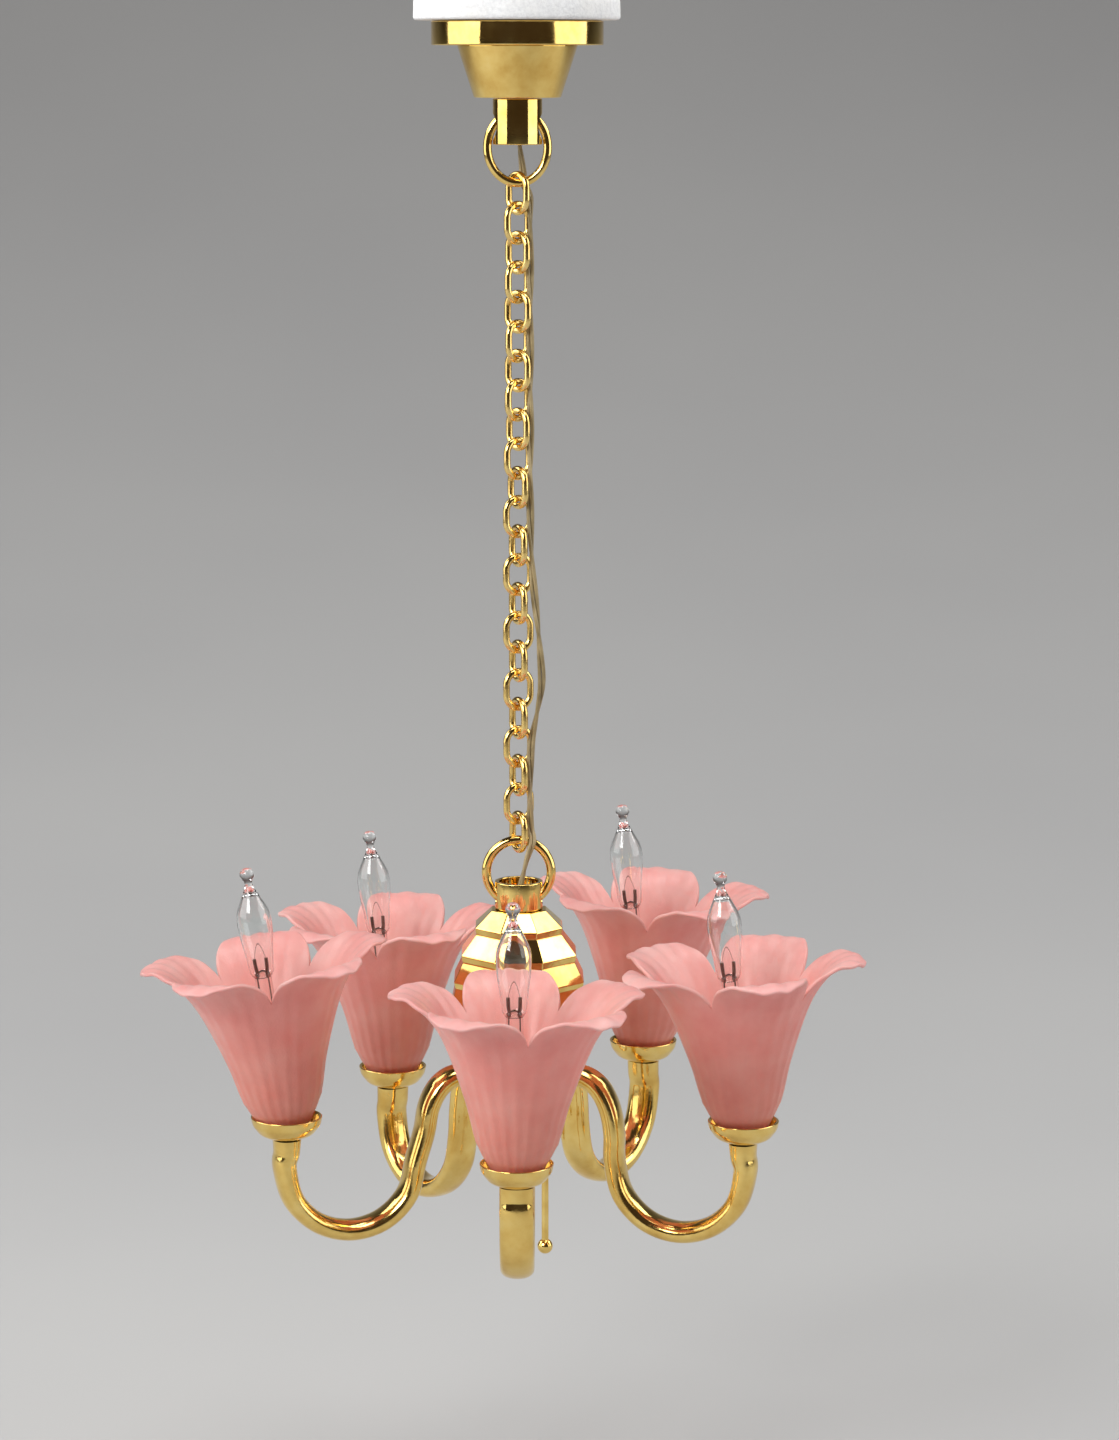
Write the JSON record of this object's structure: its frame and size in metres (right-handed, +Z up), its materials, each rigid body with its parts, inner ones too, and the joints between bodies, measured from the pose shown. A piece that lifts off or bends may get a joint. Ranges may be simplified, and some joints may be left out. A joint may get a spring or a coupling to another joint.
{
  "type": "miniature chandelier",
  "caption": "Dolls-house ceiling light: faceted gold body with curved arms, pink petal shades and clear flame-tip bulbs, hung on a cable chain from a stepped ceiling rose.",
  "frame": {"origin": "middle of the ceiling face, the top of the adhesive pad", "axes": "+Z up, -Y towards the front arm, +X to the right"},
  "size_m": [0.0683, 0.0645, 0.1202],
  "materials": {
    "gold_brass": "polished gold-plated brass",
    "frosted_pink": "frosted translucent pink acrylic",
    "clear_glass": "clear blown glass",
    "white_foam": "white self-adhesive foam",
    "wire_enamel": "thin golden-tan insulation",
    "ivory_socket": "ivory moulded plastic"
  },
  "bodies": {
    "rose": {"ceiling_pad": "white_foam", "rose_rim": "gold_brass", "rose_bell": "gold_brass", "rose_neck": "gold_brass", "supply_wire": "wire_enamel"},
    "top_ring": {"top_ring": "gold_brass"},
    "link_01": {"chain_link_01": "gold_brass"},
    "link_02": {"chain_link_02": "gold_brass"},
    "link_03": {"chain_link_03": "gold_brass"},
    "link_04": {"chain_link_04": "gold_brass"},
    "link_05": {"chain_link_05": "gold_brass"},
    "link_06": {"chain_link_06": "gold_brass"},
    "link_07": {"chain_link_07": "gold_brass"},
    "link_08": {"chain_link_08": "gold_brass"},
    "link_09": {"chain_link_09": "gold_brass"},
    "link_10": {"chain_link_10": "gold_brass"},
    "link_11": {"chain_link_11": "gold_brass"},
    "link_12": {"chain_link_12": "gold_brass"},
    "link_13": {"chain_link_13": "gold_brass"},
    "link_14": {"chain_link_14": "gold_brass"},
    "link_15": {"chain_link_15": "gold_brass"},
    "link_16": {"chain_link_16": "gold_brass"},
    "link_17": {"chain_link_17": "gold_brass"},
    "link_18": {"chain_link_18": "gold_brass"},
    "link_19": {"chain_link_19": "gold_brass"},
    "link_20": {"chain_link_20": "gold_brass"},
    "link_21": {"chain_link_21": "gold_brass"},
    "link_22": {"chain_link_22": "gold_brass"},
    "link_23": {"chain_link_23": "gold_brass"},
    "bottom_ring": {"bottom_ring": "gold_brass"},
    "lamp": {"body_neck": "gold_brass", "faceted_body": "gold_brass", "arm_hub": "gold_brass", "ball_finial": "gold_brass", "arm_front": "gold_brass", "arm_right": "gold_brass", "arm_rear_right": "gold_brass", "arm_rear_left": "gold_brass", "arm_left": "gold_brass", "cup_front": "gold_brass", "cup_right": "gold_brass", "cup_rear_right": "gold_brass", "cup_rear_left": "gold_brass", "cup_left": "gold_brass", "socket_front": "ivory_socket", "socket_right": "ivory_socket", "socket_rear_right": "ivory_socket", "socket_rear_left": "ivory_socket", "socket_left": "ivory_socket", "shade_front": "frosted_pink", "shade_right": "frosted_pink", "shade_rear_right": "frosted_pink", "shade_rear_left": "frosted_pink", "shade_left": "frosted_pink"},
    "bulb_front": {"bulb_front": "clear_glass"},
    "bulb_right": {"bulb_right": "clear_glass"},
    "bulb_rear_right": {"bulb_rear_right": "clear_glass"},
    "bulb_rear_left": {"bulb_rear_left": "clear_glass"},
    "bulb_left": {"bulb_left": "clear_glass"}
  },
  "joints": [
    {"name": "top_ring_swing", "type": "hinge", "parent": "rose", "child": "top_ring", "pos_m": [0, 0, -0.01176], "axis": [1, 0, 0], "range_deg": [-15, 15], "deforming": ["supply_wire"]},
    {"name": "link_01_swing", "type": "hinge", "parent": "top_ring", "child": "link_01", "pos_m": [0, 0, -0.01614], "axis": [-0.6428, 0.766, 0], "range_deg": [-4, 4], "deforming": ["supply_wire"]},
    {"name": "link_02_swing", "type": "hinge", "parent": "link_01", "child": "link_02", "pos_m": [0, 0, -0.0189], "axis": [0.7547, 0.6561, 0], "range_deg": [-4, 4], "deforming": ["supply_wire"]},
    {"name": "link_03_swing", "type": "hinge", "parent": "link_02", "child": "link_03", "pos_m": [0, 0, -0.02165], "axis": [-0.6691, 0.7431, 0], "range_deg": [-4, 4], "deforming": ["supply_wire"]},
    {"name": "link_04_swing", "type": "hinge", "parent": "link_03", "child": "link_04", "pos_m": [0, 0, -0.0244], "axis": [0.7071, 0.7071, 0], "range_deg": [-4, 4], "deforming": ["supply_wire"]},
    {"name": "link_05_swing", "type": "hinge", "parent": "link_04", "child": "link_05", "pos_m": [0, 0, -0.02716], "axis": [-0.7431, 0.6691, 0], "range_deg": [-4, 4], "deforming": ["supply_wire"]},
    {"name": "link_06_swing", "type": "hinge", "parent": "link_05", "child": "link_06", "pos_m": [0, 0, -0.02991], "axis": [0.6691, 0.7431, 0], "range_deg": [-4, 4], "deforming": ["supply_wire"]},
    {"name": "link_07_swing", "type": "hinge", "parent": "link_06", "child": "link_07", "pos_m": [0, 0, -0.03266], "axis": [-0.7193, 0.6947, 0], "range_deg": [-4, 4], "deforming": ["supply_wire"]},
    {"name": "link_08_swing", "type": "hinge", "parent": "link_07", "child": "link_08", "pos_m": [0, 0, -0.03541], "axis": [0.7193, 0.6947, 0], "range_deg": [-4, 4], "deforming": ["supply_wire"]},
    {"name": "link_09_swing", "type": "hinge", "parent": "link_08", "child": "link_09", "pos_m": [0, 0, -0.03817], "axis": [-0.6428, 0.766, 0], "range_deg": [-4, 4], "deforming": ["supply_wire"]},
    {"name": "link_10_swing", "type": "hinge", "parent": "link_09", "child": "link_10", "pos_m": [0, 0, -0.04092], "axis": [0.809, 0.5878, 0], "range_deg": [-4, 4], "deforming": ["supply_wire"]},
    {"name": "link_11_swing", "type": "hinge", "parent": "link_10", "child": "link_11", "pos_m": [0, 0, -0.04367], "axis": [-0.5299, 0.848, 0], "range_deg": [-4, 4], "deforming": ["supply_wire"]},
    {"name": "link_12_swing", "type": "hinge", "parent": "link_11", "child": "link_12", "pos_m": [0, 0, -0.04642], "axis": [0.8746, 0.4848, 0], "range_deg": [-4, 4], "deforming": ["supply_wire"]},
    {"name": "link_13_swing", "type": "hinge", "parent": "link_12", "child": "link_13", "pos_m": [0, 0, -0.04918], "axis": [-0.454, 0.891, 0], "range_deg": [-4, 4], "deforming": ["supply_wire"]},
    {"name": "link_14_swing", "type": "hinge", "parent": "link_13", "child": "link_14", "pos_m": [0, 0, -0.05193], "axis": [0.891, 0.454, 0], "range_deg": [-4, 4], "deforming": ["supply_wire"]},
    {"name": "link_15_swing", "type": "hinge", "parent": "link_14", "child": "link_15", "pos_m": [0, 0, -0.05468], "axis": [-0.454, 0.891, 0], "range_deg": [-4, 4], "deforming": ["supply_wire"]},
    {"name": "link_16_swing", "type": "hinge", "parent": "link_15", "child": "link_16", "pos_m": [0, 0, -0.05743], "axis": [0.891, 0.454, 0], "range_deg": [-4, 4], "deforming": ["supply_wire"]},
    {"name": "link_17_swing", "type": "hinge", "parent": "link_16", "child": "link_17", "pos_m": [0, 0, -0.06019], "axis": [-0.454, 0.891, 0], "range_deg": [-4, 4], "deforming": ["supply_wire"]},
    {"name": "link_18_swing", "type": "hinge", "parent": "link_17", "child": "link_18", "pos_m": [0, 0, -0.06294], "axis": [0.891, 0.454, 0], "range_deg": [-4, 4], "deforming": ["supply_wire"]},
    {"name": "link_19_swing", "type": "hinge", "parent": "link_18", "child": "link_19", "pos_m": [0, 0, -0.06569], "axis": [-0.454, 0.891, 0], "range_deg": [-4, 4], "deforming": ["supply_wire"]},
    {"name": "link_20_swing", "type": "hinge", "parent": "link_19", "child": "link_20", "pos_m": [0, 0, -0.06844], "axis": [0.891, 0.454, 0], "range_deg": [-4, 4], "deforming": ["supply_wire"]},
    {"name": "link_21_swing", "type": "hinge", "parent": "link_20", "child": "link_21", "pos_m": [0, 0, -0.0712], "axis": [-0.454, 0.891, 0], "range_deg": [-4, 4], "deforming": ["supply_wire"]},
    {"name": "link_22_swing", "type": "hinge", "parent": "link_21", "child": "link_22", "pos_m": [0, 0, -0.07395], "axis": [0.891, 0.454, 0], "range_deg": [-4, 4], "deforming": ["supply_wire"]},
    {"name": "link_23_swing", "type": "hinge", "parent": "link_22", "child": "link_23", "pos_m": [0, 0, -0.0767], "axis": [-0.454, 0.891, 0], "range_deg": [-4, 4], "deforming": ["supply_wire"]},
    {"name": "bottom_ring_swing", "type": "hinge", "parent": "link_23", "child": "bottom_ring", "pos_m": [0, 0, -0.07925], "axis": [1, 0, 0], "range_deg": [-4, 4], "deforming": ["supply_wire"]},
    {"name": "lamp_swing", "type": "hinge", "parent": "bottom_ring", "child": "lamp", "pos_m": [0, 0, -0.0845], "axis": [1, 0, 0], "range_deg": [-15, 15], "deforming": ["supply_wire"]},
    {"name": "bulb_front_pull", "type": "slide", "parent": "lamp", "child": "bulb_front", "axis": [-0.0122, 0, 0.9999], "range_m": [0, 0.006]},
    {"name": "bulb_right_pull", "type": "slide", "parent": "lamp", "child": "bulb_right", "axis": [-0.0958, 0, 0.9954], "range_m": [0, 0.006]},
    {"name": "bulb_rear_right_pull", "type": "slide", "parent": "lamp", "child": "bulb_rear_right", "axis": [-0.0872, 0, 0.9962], "range_m": [0, 0.006]},
    {"name": "bulb_rear_left_pull", "type": "slide", "parent": "lamp", "child": "bulb_rear_left", "axis": [-0.0872, 0, 0.9962], "range_m": [0, 0.006]},
    {"name": "bulb_left_pull", "type": "slide", "parent": "lamp", "child": "bulb_left", "axis": [-0.1392, 0, 0.9903], "range_m": [0, 0.006]}
  ]
}
